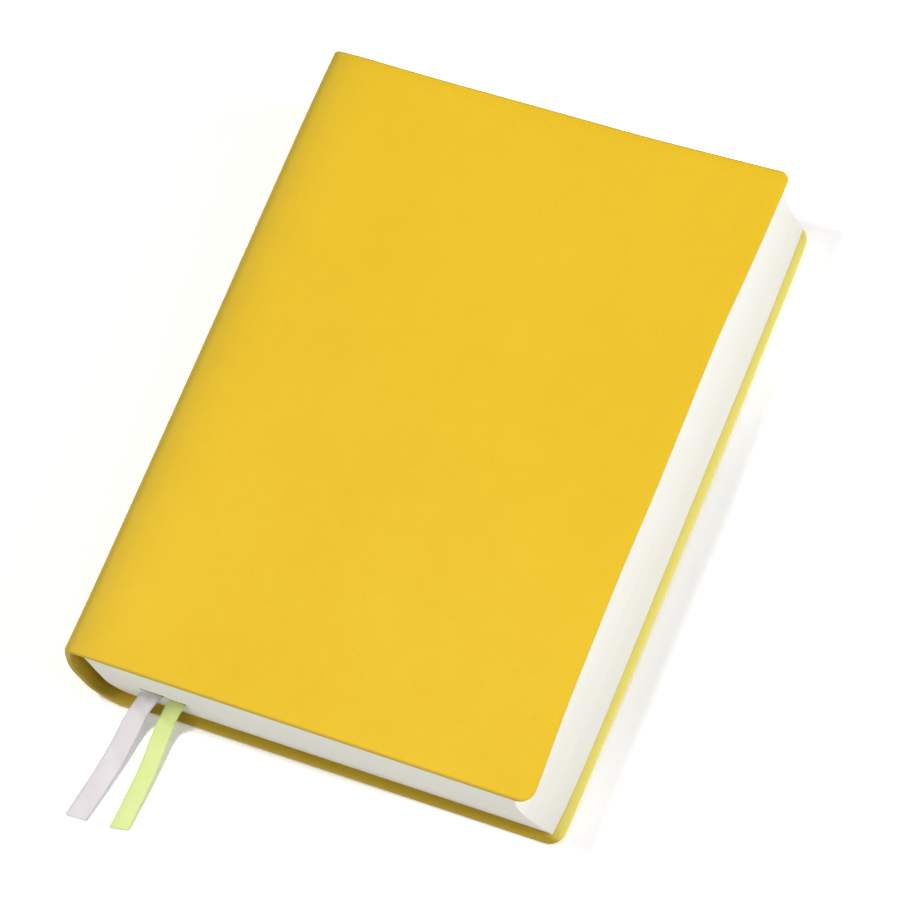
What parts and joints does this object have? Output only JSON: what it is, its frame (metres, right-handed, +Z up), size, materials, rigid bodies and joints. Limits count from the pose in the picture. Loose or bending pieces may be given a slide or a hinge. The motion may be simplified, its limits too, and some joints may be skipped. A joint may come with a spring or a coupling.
{
  "type": "leather notebook",
  "caption": "Thick notebook with a soft leather cover over thin card, a hollow rounded spine, covers that open, and ribbon markers hanging from the tail.",
  "frame": {"origin": "centre of the closed notebook's footprint, on the surface that its back cover rests on", "axes": "+X from the spine to the fore edge, +Y from the tail (where the ribbons hang out) to the head, +Z up through the front cover"},
  "size_m": [0.1612, 0.2546, 0.0389],
  "materials": {
    "cover_leather": "smooth matte",
    "pages": "trimmed uncoated leaves",
    "endpaper": "smooth uncoated",
    "card": "matte",
    "lining": "brown paper glued over cloth",
    "lilac_ribbon": "satin woven",
    "green_ribbon": "satin woven"
  },
  "bodies": {
    "leaves": {"page_block": "pages", "spine_lining": "lining", "spine_leather": "cover_leather", "spine_strip": "card", "ribbon_lilac": "lilac_ribbon", "ribbon_green": "green_ribbon"},
    "front_cover": {"front_leather": "cover_leather", "front_card": "card", "front_endpaper": "endpaper"},
    "back_cover": {"back_leather": "cover_leather", "back_card": "card", "back_endpaper": "endpaper"}
  },
  "joints": [
    {"name": "front_cover_hinge", "type": "hinge", "parent": "leaves", "child": "front_cover", "pos_m": [-0.0766, 0, 0.03765], "axis": [0, -1, 0], "range_deg": [0, 178]},
    {"name": "back_cover_hinge", "type": "hinge", "parent": "leaves", "child": "back_cover", "pos_m": [-0.0745, 0, 0.00095], "axis": [0, 1, 0], "range_deg": [0, 178]}
  ]
}
